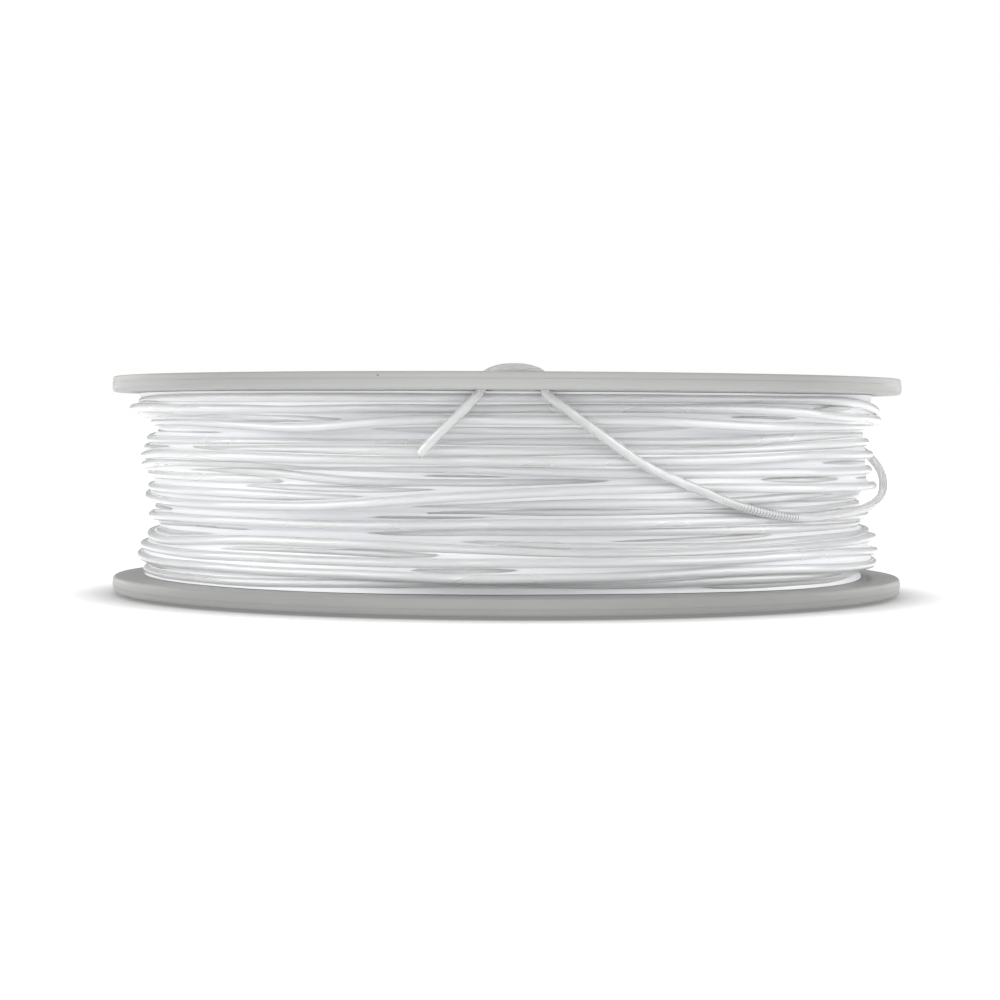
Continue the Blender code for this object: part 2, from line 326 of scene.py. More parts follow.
def make_camera():
    """The main viewpoint: just below the upper flange, long lens, a touch of tilt and roll."""
    turn = math.radians(CAMERA_AZIMUTH + 90) - CAMERA_PAN
    forward = Vector((-math.sin(turn), math.cos(turn), 0)) * math.cos(CAMERA_TILT)
    forward.z = -math.sin(CAMERA_TILT)
    right = Vector((math.cos(turn), math.sin(turn), 0))
    up = right.cross(forward)
    rolled_right = right * math.cos(CAMERA_ROLL) + up * math.sin(CAMERA_ROLL)
    rolled_up = up * math.cos(CAMERA_ROLL) - right * math.sin(CAMERA_ROLL)
    data = bpy.data.cameras.new("camera")
    data.lens = CAMERA_LENS
    data.sensor_width = SENSOR
    data.clip_start = 0.01
    data.clip_end = 50
    camera = bpy.data.objects.new("camera", data)
    turned_axes = Matrix((rolled_right, rolled_up, -forward)).transposed().to_4x4()
    place = cylindrical(CAMERA_AZIMUTH, CAMERA_DISTANCE, CAMERA_HEIGHT)
    camera.matrix_world = Matrix.Translation(place) @ turned_axes
    bpy.context.collection.objects.link(camera)
    bpy.context.scene.camera = camera


# Node-tree helpers


class Shading:
    """A new material's node tree, built by name."""

    def __init__(self, name):
        self.material = bpy.data.materials.new(name)
        self.material.use_nodes = True
        self.tree = self.material.node_tree
        self.shader = self.tree.nodes["Principled BSDF"]

    def node(self, kind, inputs=None, **settings):
        made = self.tree.nodes.new("ShaderNode" + kind)
        for key, value in settings.items():
            setattr(made, key, value)
        for socket, value in (inputs or {}).items():
            if isinstance(value, bpy.types.NodeSocket):
                self.tree.links.new(value, made.inputs[socket])
            else:
                made.inputs[socket].default_value = value
        return made

    def link(self, source, socket):
        self.tree.links.new(source, self.shader.inputs[socket])

    def set(self, socket, value):
        self.shader.inputs[socket].default_value = value

    def mapped(self, scale, source="Object"):
        """Texture coordinates, scaled on each axis."""
        coordinates = self.node("TexCoord")
        mapping = self.node("Mapping", {"Vector": coordinates.outputs[source], "Scale": scale})
        return mapping.outputs["Vector"]

    def noise(self, vector, scale, detail=3.0, roughness=0.5):
        made = self.node(
            "TexNoise", {"Vector": vector, "Scale": scale, "Detail": detail, "Roughness": roughness}
        )
        return made.outputs["Fac"]

    def spread(self, value, low, high, to_low, to_high):
        """Maps one range of values onto another, clamped."""
        inputs = {"Value": value, "From Min": low, "From Max": high, "To Min": to_low, "To Max": to_high}
        return self.node("MapRange", inputs).outputs["Result"]

    def math(self, operation, a, b):
        made = self.node("Math", {0: a, 1: b}, operation=operation)
        return made.outputs["Value"]

    def mix(self, factor, a, b):
        made = self.node("Mix", {"Factor": factor}, data_type="RGBA")
        for socket, value in ((6, a), (7, b)):
            if isinstance(value, bpy.types.NodeSocket):
                self.tree.links.new(value, made.inputs[socket])
            else:
                made.inputs[socket].default_value = value
        return made.outputs[2]

    def bump(self, height, distance, strength=1.0, normal=None):
        inputs = {"Height": height, "Distance": distance, "Strength": strength}
        if normal is not None:
            inputs["Normal"] = normal
        return self.node("Bump", inputs).outputs["Normal"]


def moulded_plastic(name, colour, shade, roughness, speck_strength=0.75):
    """Satin moulded plastic: slow colour drift, fine texture, faint scuffs and a few dust specks."""
    s = Shading(name)
    spot = s.mapped((1, 1, 1))
    drift = s.noise(spot, 28, detail=2)
    fine = s.noise(spot, 900, detail=4)
    scuffs = s.noise(s.mapped((40, 40, 900)), 1.0, detail=5, roughness=0.65)
    body = s.mix(s.spread(drift, 0.35, 0.65, 0, 1), (*colour, 1), (*shade, 1))
    specks = s.node("TexVoronoi", {"Vector": spot, "Scale": 150.0})
    tiny = s.spread(specks.outputs["Distance"], 0.03, 0.055, 1, 0)
    chosen = s.spread(s.noise(spot, 60, detail=1), 0.66, 0.7, 0, 1)
    dirt = s.math("MULTIPLY", s.math("MULTIPLY", tiny, chosen), speck_strength)
    s.link(s.mix(dirt, body, (0.16, 0.12, 0.08, 1)), "Base Color")
    s.link(s.spread(scuffs, 0.35, 0.75, roughness - 0.05, roughness + 0.12), "Roughness")
    grain = s.bump(fine, 0.00002)
    s.link(s.bump(scuffs, 0.00003, normal=grain), "Normal")
    s.set("IOR", 1.46)
    s.set("Subsurface Weight", 0.08)
    s.set("Subsurface Radius", (0.002, 0.002, 0.0018))
    s.set("Subsurface Scale", 1.0)
    return s.material


def line_material(name, colours, clarity, roughness, crazed=False):
    """Milky clear monofilament, with die lines and cloudier lengths along each strand.

    Where it's crazed, fine cracks ring a length that has been bent.
    """
    s = Shading(name)
    lines = s.noise(s.mapped((14, 4, 1), source="UV"), 1.0, detail=4, roughness=0.6)
    cloud = s.noise(s.mapped((22, 0.5, 1), source="UV"), 1.0, detail=2)
    dull, bright = colours
    colour = s.mix(s.spread(cloud, 0.3, 0.7, 0, 1), (*dull, 1), (*bright, 1))
    clear = s.spread(lines, 0.3, 0.7, clarity - 0.08, clarity + 0.08)
    if crazed:
        along = s.node("SeparateXYZ", {0: s.mapped((1, 1, 1), source="UV")}).outputs["X"]
        apart = s.node("Math", {0: s.math("DIVIDE", along, CRAZE_PITCH)}, operation="FRACT").outputs["Value"]
        ring = s.spread(apart, 0.2, 0.35, 1, 0)
        begun = s.spread(along, CRAZE_FROM, CRAZE_FROM + CRAZE_PITCH, 0, 1)
        fading = s.spread(along, CRAZE_TO - CRAZE_FADE, CRAZE_TO, 1, 0)
        cracks = s.math("MULTIPLY", s.math("MULTIPLY", begun, fading), ring)
        colour = s.mix(cracks, colour, (0.14, 0.14, 0.15, 1))
        whole = s.spread(cracks, 0, 1, 1, 0)
        clear = s.math("MULTIPLY", clear, whole)
        s.link(whole, "Subsurface Weight")
    else:
        s.set("Subsurface Weight", 1.0)
    s.link(colour, "Base Color")
    s.link(s.spread(cloud, 0.3, 0.7, roughness + 0.05, roughness - 0.05), "Roughness")
    s.link(clear, "Transmission Weight")
    s.link(s.bump(lines, 0.00001), "Normal")
    s.set("IOR", 1.50)
    s.set("Coat Weight", 0.8)
    s.set("Coat Roughness", 0.08)
    s.set("Subsurface Radius", (0.0024, 0.0025, 0.0027))
    s.set("Subsurface Scale", 1.0)
    return s.material


def core_line_material(name):
    """Many clear turns seen through each other, as fine pale and grey lines that run round the pack: painted
    highlights and painted shade, on colours darker than the outer turns' for painted shade under them.
    """
    s = Shading(name)
    broad = s.noise(s.mapped((12, 420, 1), source="UV"), 1.0, detail=2)
    fine = s.noise(s.mapped((26, 1300, 1), source="UV"), 1.0, detail=2, roughness=0.5)
    both = s.math("ADD", s.math("MULTIPLY", broad, 0.5), s.math("MULTIPLY", fine, 0.5))
    # Painted highlights and shade: pale and grey lines for light seen through the clear turns, on colours
    # darker than the outer turns'
    painted_light_streaks = s.mix(s.spread(both, 0.38, 0.62, 0, 1), (0.76, 0.775, 0.795, 1), (0.85, 0.86, 0.872, 1))
    s.link(painted_light_streaks, "Base Color")
    s.link(s.bump(fine, 0.00003), "Normal")
    s.set("Roughness", 0.35)
    s.set("IOR", 1.50)
    return s.material


# Mesh helpers


def add_piece(name, mesh, material, replaced):
    """A piece of the spool that stands for one CAD node."""
    piece = bpy.data.objects.new(name, mesh)
    bpy.context.collection.objects.link(piece)
    mesh.materials.clear()
    mesh.materials.append(material)
    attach(piece, "root")
    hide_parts(replaced)
    return piece


def rounded(corners, steps=4):
    """A closed outline whose corners, given as (radius, height, fillet), are rounded."""
    outline = []
    for i, (radius, height, fillet) in enumerate(corners):
        here = Vector((radius, height))
        before = Vector(corners[i - 1][:2]) - here
        after = Vector(corners[(i + 1) % len(corners)][:2]) - here
        half = before.angle(after) / 2
        if fillet == 0 or half > math.radians(88):
            outline.append(here)
            continue
        reach = min(fillet / math.tan(half), 0.48 * before.length, 0.48 * after.length)
        start = here + before.normalized() * reach
        end = here + after.normalized() * reach
        for step in range(steps + 1):
            t = step / steps
            outline.append(start * (1 - t) ** 2 + here * 2 * t * (1 - t) + end * t**2)
    return outline


def turned(name, corners, segments):
    """A mesh turned about Z from a closed outline that runs down its outer side."""
    outline = np.array([tuple(point) for point in rounded(corners)])
    angles = np.arange(segments) * math.tau / segments
    radii = outline[:, 0][None, :]
    places = np.stack(
        [
            radii * np.cos(angles)[:, None],
            radii * np.sin(angles)[:, None],
            np.broadcast_to(outline[:, 1], (segments, len(outline))),
        ],
        axis=-1,
    )
    index = np.arange(places.shape[0] * places.shape[1]).reshape(places.shape[:2])
    beside = np.roll(index, -1, 0)
    quads = np.stack([index, np.roll(index, -1, 1), np.roll(beside, -1, 1), beside], axis=-1)
    mesh = bpy.data.meshes.new(name)
    mesh.from_pydata(places.reshape(-1, 3).tolist(), [], quads.reshape(-1, 4).tolist())
    return mesh


def facing_out(mesh, crease=38):
    """Turns every face outwards and shades the round parts smooth."""
    form = bmesh.new()
    form.from_mesh(mesh)
    bmesh.ops.recalc_face_normals(form, faces=form.faces)
    form.to_mesh(mesh)
    form.free()
    mesh.shade_smooth()
    mesh.set_sharp_from_angle(angle=math.radians(crease))
    return mesh


def joined(name, meshes):
    """One mesh from several."""
    form = bmesh.new()
    for mesh in meshes:
        form.from_mesh(mesh)
    whole = bpy.data.meshes.new(name)
    form.to_mesh(whole)
    form.free()
    return whole


def carved(mesh, cutters):
    """The mesh with each cutter mesh taken out of it."""
    target = bpy.data.objects.new("carved", mesh)
    bpy.context.collection.objects.link(target)
    helpers = []
    for cutter_mesh in cutters:
        cutter = bpy.data.objects.new("cutter", cutter_mesh)
        bpy.context.collection.objects.link(cutter)
        helpers.append(cutter)
        boolean = target.modifiers.new("cut", "BOOLEAN")
        boolean.object = cutter
        boolean.operation = "DIFFERENCE"
    evaluated = target.evaluated_get(bpy.context.evaluated_depsgraph_get())
    result = bpy.data.meshes.new_from_object(evaluated)
    for helper in (target, *helpers):
        bpy.data.objects.remove(helper)
    return result


def arc(radius, start, end, steps=24):
    """Points on a circle from one angle to another."""
    angles = [start + (end - start) * i / steps for i in range(steps + 1)]
    return [Vector((radius * math.cos(angle), radius * math.sin(angle))) for angle in angles]


def sector_outline(index):
    """A window between two spokes of even width, with round corners."""
    start = math.tau * index / SPOKES
    end = start + math.tau / SPOKES
    inner = math.asin(SPOKE_WIDTH / 2 / WINDOW_INNER_R)
    outer = math.asin(SPOKE_WIDTH / 2 / WINDOW_OUTER_R)
    curved_in = arc(WINDOW_INNER_R, start + inner, end - inner)
    curved_out = arc(WINDOW_OUTER_R, end - outer, start + outer)
    corners = [(*point, 0) for point in curved_in + curved_out]
    for i in (0, len(curved_in) - 1, len(curved_in), len(corners) - 1):
        corners[i] = (*corners[i][:2], WINDOW_CORNER_R)
    for i in (1, len(curved_in) - 2, len(curved_in) + 1, len(corners) - 2):
        corners[i] = None
    return rounded([corner for corner in corners if corner], steps=6)


def hub_plate(low, high):
    """The flat middle of a flange, pierced by its windows, with every edge eased."""
    curve = bpy.data.curves.new("hub_plate", "CURVE")
    curve.dimensions = "2D"
    curve.fill_mode = "BOTH"
    curve.bevel_depth = PLATE_EDGE
    curve.bevel_resolution = 2
    curve.offset = -PLATE_EDGE
    curve.extrude = (high - low) / 2 - PLATE_EDGE
    rings = [arc(PLATE_OUTER_R, 0, math.tau, 192)[:-1], arc(PLATE_INNER_R, 0, math.tau, 96)[:-1]]
    rings += [sector_outline(index) for index in range(SPOKES)]
    for ring in rings:
        spline = curve.splines.new("POLY")
        spline.points.add(len(ring) - 1)
        spline.points.foreach_set("co", [x for point in ring for x in (*point, 0, 1)])
        spline.use_cyclic_u = True
    holder = bpy.data.objects.new("hub_plate", curve)
    bpy.context.collection.objects.link(holder)
    evaluated = holder.evaluated_get(bpy.context.evaluated_depsgraph_get())
    mesh = bpy.data.meshes.new_from_object(evaluated)
    mesh.transform(Matrix.Translation((0, 0, (low + high) / 2)))
    bpy.data.objects.remove(holder)
    return mesh


def smooth_points(knots, spacing):
    """Evenly spaced points on a Catmull-Rom curve through the knots."""
    knots = np.array([tuple(knot) for knot in knots])
    knots = np.vstack([2 * knots[0] - knots[1], knots, 2 * knots[-1] - knots[-2]])
    t = np.linspace(0, 1, 24, endpoint=False)[:, None]
    spans = []
    for before, start, end, after in zip(knots, knots[1:], knots[2:], knots[3:]):
        straight = (end - before) * t
        bend = (2 * before - 5 * start + 4 * end - after) * t**2
        twist = (3 * start - before - 3 * end + after) * t**3
        spans.append(start + 0.5 * (straight + bend + twist))
    fine = np.vstack([*spans, knots[-2:-1]])
    travelled = np.concatenate([[0], np.cumsum(np.linalg.norm(np.diff(fine, axis=0), axis=1))])
    wanted = np.linspace(0, travelled[-1], round(travelled[-1] / spacing) + 1)
    return np.stack([np.interp(wanted, travelled, fine[:, axis]) for axis in range(3)], axis=1)


def strand(name, points, radius, sides):
    """A round strand along points, with eased, cut ends.

    Its UV map is metres along it and parts of a turn round it.
    """
    points = np.asarray(points, float)
    ahead = np.gradient(points, axis=0)
    ahead /= np.linalg.norm(ahead, axis=1)[:, None]
    across = np.cross(ahead, (0, 0, 1))
    steep = np.linalg.norm(across, axis=1) < 0.5
    if steep.any():
        for i in range(1, len(points)):
            across[i] = across[i - 1] - ahead[i] * across[i - 1].dot(ahead[i])
    across /= np.linalg.norm(across, axis=1)[:, None]
    raised = np.cross(across, ahead)
    ease = 0.15 * radius
    last = len(points) - 1
    stations = np.array([0, 0, *range(1, last), last, last])
    shifts = np.zeros(len(stations))
    shifts[1] = ease
    shifts[-2] = -ease
    shares = np.ones(len(stations))
    shares[[0, -1]] = 0.84
    angles = np.arange(sides) * math.tau / sides
    spokes = (
        np.cos(angles)[None, :, None] * across[stations][:, None, :]
        + np.sin(angles)[None, :, None] * raised[stations][:, None, :]
    )
    centres = points[stations] + ahead[stations] * shifts[:, None]
    rings = centres[:, None, :] + spokes * (radius * shares)[:, None, None]
    index = np.arange(len(stations) * sides).reshape(-1, sides)
    beside = np.roll(index, -1, 1)
    quads = np.stack([index[:-1], index[1:], beside[1:], beside[:-1]], axis=-1).reshape(-1, 4)
    faces = quads.tolist() + [index[0].tolist(), index[-1][::-1].tolist()]
    mesh = bpy.data.meshes.new(name)
    mesh.from_pydata(rings.reshape(-1, 3).tolist(), [], faces)
    lengths = np.concatenate([[0], np.cumsum(np.linalg.norm(np.diff(points, axis=0), axis=1))])
    along = lengths[stations] + shifts
    turn = np.arange(sides + 1) / sides
    shape = (len(stations) - 1, sides)
    u = np.stack([along[:-1], along[1:], along[1:], along[:-1]], axis=-1)
    v = np.stack([turn[:-1], turn[:-1], turn[1:], turn[1:]], axis=-1)
    u = np.broadcast_to(u[:, None, :], (*shape, 4))
    v = np.broadcast_to(v[None, :, :], (*shape, 4))
    sides_uv = np.stack([u, v], axis=-1).reshape(-1)
    layer = mesh.uv_layers.new(name="strand")
    layer.uv.foreach_set("vector", np.concatenate([sides_uv, np.zeros(4 * sides)]))
    mesh.shade_smooth()
    mesh.set_sharp_from_angle(angle=math.radians(50))
    return mesh


# The ends of the line


def make_free_end(material):
    """The outer end: off the pack at the right, across the front, through both holes, and cut off."""
    knots = [cylindrical(*knot) for knot in FREE_END_ROUTE]
    points = smooth_points(knots, 0.35 * LINE_D)
    mesh = strand("line_free_end_strand", points, LINE_R, 16)
    piece = add_piece("line_free_end_strand", mesh, material, "line_free_end")


def make_inner_end(material):
    """The inner end: through the drum's wall and up inside it."""
    points = smooth_points([cylindrical(*knot) for knot in INNER_END_ROUTE], 0.4 * LINE_D)
    mesh = strand("line_inner_end_strand", points, LINE_R, 12)
    add_piece("line_inner_end_strand", mesh, material, "line_inner_end")


# Wound line


def slow_noise(rng, count, spacing, size):
    """Random values that change smoothly along the line."""
    knots = rng.normal(0, size, count // spacing + 2)
    at = np.arange(count) / spacing
    whole = at.astype(int)
    part = at - whole
    ease = part * part * (3 - 2 * part)
    return knots[whole] * (1 - ease) + knots[whole + 1] * ease


def smoothed(values, width):
    """Gaussian smoothing over a width in points, with the ends held."""
    reach = int(3 * width) + 1
    weights = np.exp(-0.5 * (np.arange(-reach, reach + 1) / width) ** 2)
    return np.convolve(np.pad(values, reach, mode="edge"), weights / weights.sum(), mode="valid")


def resting_radii(surface):
    """Radius at which a strand's centre rests on the surface, at each azimuth and height."""
    half = int(LINE_R / CELL)
    padded = np.pad(surface, ((0, 0), (half, half)), mode="edge")
    contact = np.zeros_like(surface)
    for shift in range(-half, half + 1):
        dome = math.sqrt(LINE_R**2 - (shift * CELL) ** 2)
        start = half + shift
        np.maximum(contact, padded[:, start : start + CELLS] + dome, out=contact)
    return contact


def easy_heights(contact, steps, guide, start):
    """Heights near the guide along which the strand lies lowest without swerving much."""
    cells_off = np.arange(-STRAY_CELLS, STRAY_CELLS + 1)
    off = cells_off * CELL * 1000
    stray = STRAY_COST * off**2
    swerve = SWERVE_COST * (off[:, None] - off[None, :]) ** 2
    total = START_PULL * (off - (start - guide[0]) * 1000) ** 2
    choices = []
    for step, aim in zip(steps, guide):
        cells = round(aim / CELL) + cells_off
        lying = contact[step % STEPS, np.clip(cells, 0, CELLS - 1)] * 1000
        outside = (cells * CELL < PACK_LOW) | (cells * CELL > PACK_HIGH)
        reached = total[None, :] + swerve
        choice = reached.argmin(1)
        choices.append(choice)
        total = reached[np.arange(len(choice)), choice] + lying + stray + OUTSIDE_COST * outside
    heights = np.empty(len(guide))
    state = total.argmin()
    for i in range(len(guide) - 1, -1, -1):
        heights[i] = guide[i] + off[state] / 1000
        state = choices[i][state]
    return smoothed(heights, 2)


def taut(radii):
    """The tight way over points at these radii: straight between the highest ones."""
    places = np.arange(len(radii))
    sag = 0.5 * radii.mean() * (places * math.tau / STEPS) ** 2
    value = radii - sag
    kept = []
    for i in places:
        while len(kept) > 1:
            a, b = kept[-2:]
            if (value[b] - value[a]) * (i - a) > (value[i] - value[a]) * (b - a):
                break
            kept.pop()
        kept.append(i)
    return np.interp(places, kept, value[kept]) + sag


def machine_heights(rng):
    """Where the winding aims for: to and fro between the flanges, then a few turns that wander."""
    span = PACK_HIGH - PACK_LOW
    per_layer = round(span / (LINE_D * 1.02))
    even = np.arange(LAYERS * per_layer * STEPS) / STEPS / per_layer % 2
    layered = PACK_HIGH - span * np.where(even < 1, even, 2 - even)
    knots = [(turn * 360 + FREE_END_ROUTE[0][0] - azimuth, height) for turn, azimuth, height in LOOSE_KNOTS]
    travel, height = np.array(knots).T
    loose_count = round(travel[-1] / 360 * STEPS)
    loose = np.interp(np.arange(loose_count) * 360 / STEPS, travel, height / 1000)
    aims = np.concatenate([layered, smoothed(loose, 7)])
    noise = slow_noise(rng, len(aims), 30, 0.00035) + slow_noise(rng, len(aims), 400, 0.0008)
    noise[-QUIET_POINTS:] *= np.linspace(1, 0, QUIET_POINTS)
    return np.clip(aims + noise, PACK_LOW, PACK_HIGH), per_layer


def wind(rng):
    """Winds the line on, turn by turn, each resting on what lies below.

    Returns its heights and radii along it, the surface that it makes, and how many points come
    before the last two layers.
    """
    aims, per_layer = machine_heights(rng)
    count = len(aims)
    loose_from = LAYERS * per_layer * STEPS
    slack = np.abs(slow_noise(rng, count, 50, 0.0004))
    slack[loose_from:] += np.abs(slow_noise(rng, count - loose_from, 45, 0.0007))
    slack[: loose_from - per_layer * STEPS] *= DEEP_SLACK
    surface = np.full((STEPS, CELLS), CORE_R - LINE_R)
    half = int(LINE_R / CELL)
    dome = np.sqrt(LINE_R**2 - (np.arange(-half, half + 1) * CELL) ** 2)
    heights, resting, radii = [], [np.full(OVERLAP, CORE_R)], []
    start = aims[0]
    for first in range(0, count, STEPS):
        steps = np.arange(first, min(count, first + STEPS + OVERLAP))
        contact = resting_radii(surface)
        path = easy_heights(contact, steps, aims[steps], start)
        cells = np.round(path / CELL).astype(int)
        touching = contact[steps % STEPS, cells]
        tight = smoothed(taut(np.concatenate([resting[-1][-OVERLAP:], touching])), 1.6)[OVERLAP:]
        tight += slack[steps]
        start = path[min(STEPS, len(path) - 1)]
        for step, cell, radius in zip(steps[:STEPS], cells, tight):
            strip = surface[step % STEPS, cell - half : cell + half + 1]
            np.maximum(strip, radius + dome, out=strip)
        heights.append(path[:STEPS])
        resting.append(touching[:STEPS])
        radii.append(tight[:STEPS])
    return np.concatenate(heights), np.concatenate(radii), surface, loose_from - 2 * per_layer * STEPS


def clear_of_free_end(azimuths, radii, heights, room):
    """The radii, made smaller where the free end crosses so that it has this room above them."""
    knots = [cylindrical(*knot) for knot in FREE_END_ROUTE]
    route = smooth_points(knots, LINE_D)
    route_azimuth = np.degrees(np.unwrap(np.arctan2(route[:, 1], route[:, 0])))
    route_radius = np.hypot(route[:, 0], route[:, 1])
    turn = (azimuths - FREE_END_ROUTE[0][0]) % 360 - 360 + FREE_END_ROUTE[0][0]
    limit = radii.copy()
    for azimuth, radius, height in zip(route_azimuth, route_radius, route[:, 2]):
        near = np.abs(turn - azimuth) < CROSSING_HALF_ANGLE
        near &= np.abs(heights - height) < CROSSING_HALF_HEIGHT
        limit[near] = np.minimum(limit[near], radius - room)
    return limit


def web_height(radius):
    """Height of the lower flange's inner face."""
    return RIM_LOW + RIM_THICKNESS + (BEAD_INNER_R - radius) * WEB_LEAN


def core_mesh(surface, first_azimuth):
    """The turns below as one body that follows the outer ones a little below their tops.

    Its UV map is metres round it and metres up it.
    """
    low, high = round(PACK_LOW / CELL), round(PACK_HIGH / CELL)
    strip = surface[:, low : high + 1]
    wide = np.concatenate([strip[-CORE_WRAP:], strip, strip[:CORE_WRAP]])
    evened = np.stack([smoothed(column, 3) for column in wide.T], axis=1)[CORE_WRAP:-CORE_WRAP]
    evened = np.stack([smoothed(row, 9) for row in evened]) - CORE_DEPTH
    radii = evened[:, ::CORE_ROW]
    heights = (low + CORE_ROW * np.arange(radii.shape[1])) * CELL
    azimuths = first_azimuth - np.arange(STEPS) * 360 / STEPS
    radii = clear_of_free_end(
        np.broadcast_to(azimuths[:, None], radii.shape),
        radii,
        np.broadcast_to(heights, radii.shape),
        LINE_R + CORE_DEPTH,
    )
    inner = np.full((STEPS, 1), DRUM_R + GAP)
    low_lip = np.hstack([inner, radii[:, :1] + CORE_DEPTH])
    high_lip = np.hstack([radii[:, -1:] + CORE_DEPTH, inner])
    profile_r = np.hstack([low_lip, radii, high_lip])
    low_z = web_height(low_lip) + REST_GAP
    high_z = TOP - web_height(high_lip) - REST_GAP
    profile_z = np.hstack([low_z, np.broadcast_to(heights, radii.shape), high_z])
    angles = np.radians(azimuths)
    x = profile_r * np.cos(angles)[:, None]
    y = profile_r * np.sin(angles)[:, None]
    places = np.stack([x, y, profile_z], axis=-1)
    index = np.arange(profile_r.size).reshape(profile_r.shape)
    beside = np.roll(index, -1, 0)
    quads = np.stack([index, np.roll(index, -1, 1), np.roll(beside, -1, 1), beside], axis=-1)
    mesh = bpy.data.meshes.new("wound_line_core")
    mesh.from_pydata(places.reshape(-1, 3).tolist(), [], quads.reshape(-1, 4).tolist())
    around = np.arange(STEPS + 1) * math.tau / STEPS * CORE_R
    shape = quads.shape[:2]
    start = np.broadcast_to(around[:-1, None], shape)
    end = np.broadcast_to(around[1:, None], shape)
    above = np.roll(profile_z, -1, 1)
    u = np.stack([start, start, end, end], axis=-1)
    v = np.stack([profile_z, above, above, profile_z], axis=-1)
    layer = mesh.uv_layers.new(name="round")
    layer.uv.foreach_set("vector", np.stack([u, v], axis=-1).reshape(-1))
    return facing_out(mesh, 60)


def make_wound_line(material, core_material):
    """The wound pack: the merged turns below, those just under the top, and the outer turns."""
    rng = np.random.default_rng(WINDING_SEED)
    heights, radii, surface, shown_from = wind(rng)
    count = len(heights)
    exit_azimuth, exit_radius, exit_height = FREE_END_ROUTE[0]
    azimuths = exit_azimuth + (count - 1 - np.arange(count)) * 360 / STEPS
    blend = np.clip((np.arange(count) - (count - 1 - BLEND_POINTS)) / BLEND_POINTS, 0, 1)
    blend = blend**2 * (3 - 2 * blend)
    heights = heights * (1 - blend) + exit_height * blend
    radii = radii * (1 - blend) + exit_radius * blend
    pressed = clear_of_free_end(azimuths, radii, heights, 1.02 * LINE_D)
    pressed[-STEPS // 4 :] = radii[-STEPS // 4 :]
    radii = np.minimum(radii, smoothed(pressed, 1.5))
    angles = np.radians(azimuths)
    points = np.stack([radii * np.cos(angles), radii * np.sin(angles), heights], axis=1)
    outer_from = (shown_from + count) // 2
    under = strand("wound_line_under", points[shown_from : outer_from + 1], LINE_R, 8)
    outer = strand("wound_line_outer", points[outer_from:], LINE_R, 12)
    add_piece("wound_line_under", under, material, "line_pack")
    add_piece("wound_line_outer", outer, material, "line_pack")
    core = core_mesh(surface, exit_azimuth - count * 360 / STEPS)
    add_piece("wound_line_core", core, core_material, "line_pack")


# Mouldings


def flange_mesh():
    """The lower flange: rim bead, leaning web, pierced hub plate, spigot and boss."""
    web = turned(
        "flange_web",
        (
            (FLANGE_R, RIM_LOW + RIM_THICKNESS, 1.3 * RIM_FILLET),
            (FLANGE_R, RIM_LOW + RIM_STEP, 0.00012),
            (FLANGE_R - RIM_SETBACK, RIM_LOW + RIM_STEP, 0.0001),
            (FLANGE_R - RIM_SETBACK, RIM_LOW, 1.3 * RIM_FILLET),
            (BEAD_INNER_R, RIM_LOW, 0.0003),
            (BEAD_INNER_R, RIM_LOW + RIM_THICKNESS - WEB_THICKNESS, 0.0005),
            (DRUM_R, RIM_LOW + WEB_OUTER, 0),
            (PLATE_OUTER_R - PLATE_EDGE, RIM_LOW + WEB_OUTER, 0),
            (PLATE_OUTER_R - PLATE_EDGE, RIM_LOW + WEB_INNER, 0),
            (DRUM_R, RIM_LOW + WEB_INNER, 0),
            (BEAD_INNER_R, RIM_LOW + RIM_THICKNESS, 0.004),
        ),
        240,
    )
    holes = []
    for side in (-1, 1):
        middle = cylindrical(TUCK_AZIMUTH + side * TUCK_HALF_SPREAD, TUCK_CIRCLE_R, RIM_LOW)
        hole = facing_out(
            turned(
                "tuck_hole",
                (
                    (TUCK_HOLE_R + 0.0012, RIM_THICKNESS + 0.001, 0),
                    (TUCK_HOLE_R, RIM_THICKNESS - 0.0003, 0.0006),
                    (TUCK_HOLE_R, RIM_THICKNESS - WEB_THICKNESS + 0.0005, 0.0006),
                    (TUCK_HOLE_R + 0.0012, -0.0005, 0),
                    (0.0001, -0.0005, 0),
                    (0.0001, RIM_THICKNESS + 0.001, 0),
                ),
                32,
            )
        )
        hole.transform(Matrix.Translation(middle))
        holes.append(hole)
    web = carved(facing_out(web), holes)
    plate = hub_plate(RIM_LOW + WEB_OUTER, RIM_LOW + WEB_INNER)
    spigot = turned(
        "flange_spigot",
        (
            (SPIGOT_OUTER_R, RIM_LOW + BOSS_HEIGHT, 0.0004),
            (SPIGOT_OUTER_R, RIM_LOW + WEB_INNER - 0.001, 0),
            (SPIGOT_INNER_R, RIM_LOW + WEB_INNER - 0.001, 0),
            (SPIGOT_INNER_R, RIM_LOW + BOSS_HEIGHT, 0.0004),
        ),
        160,
    )
    seat_r = HEAD_R + GAP
    seat = HEAD_THICKNESS + GAP
    bore_r = SLEEVE_OUTER_R + GAP
    boss = turned(
        "flange_boss",
        (
            (BOSS_OUTER_R, RIM_LOW + BOSS_HEIGHT, 0.0004),
            (BOSS_OUTER_R, RIM_LOW + BOSS_FACE, 0.0004),
            (seat_r, RIM_LOW + BOSS_FACE, 0.0003),
            (seat_r, seat, 0.0002),
            (bore_r, seat, 0.0002),
            (bore_r, RIM_LOW + BOSS_HEIGHT, 0.0003),
        ),
        128,
    )
    return facing_out(joined("flange", (web, plate, spigot, boss)))


def make_flanges(material):
    """Both flanges, the upper one turned over about the X axis."""
    lower = flange_mesh()
    upper = lower.copy()
    upper.transform(Matrix.Translation((0, 0, TOP)) @ Matrix.Rotation(math.pi, 4, "X"))
    add_piece("lower_flange_moulding", lower, material, "lower_flange")
    add_piece("upper_flange_moulding", upper, material, "upper_flange")


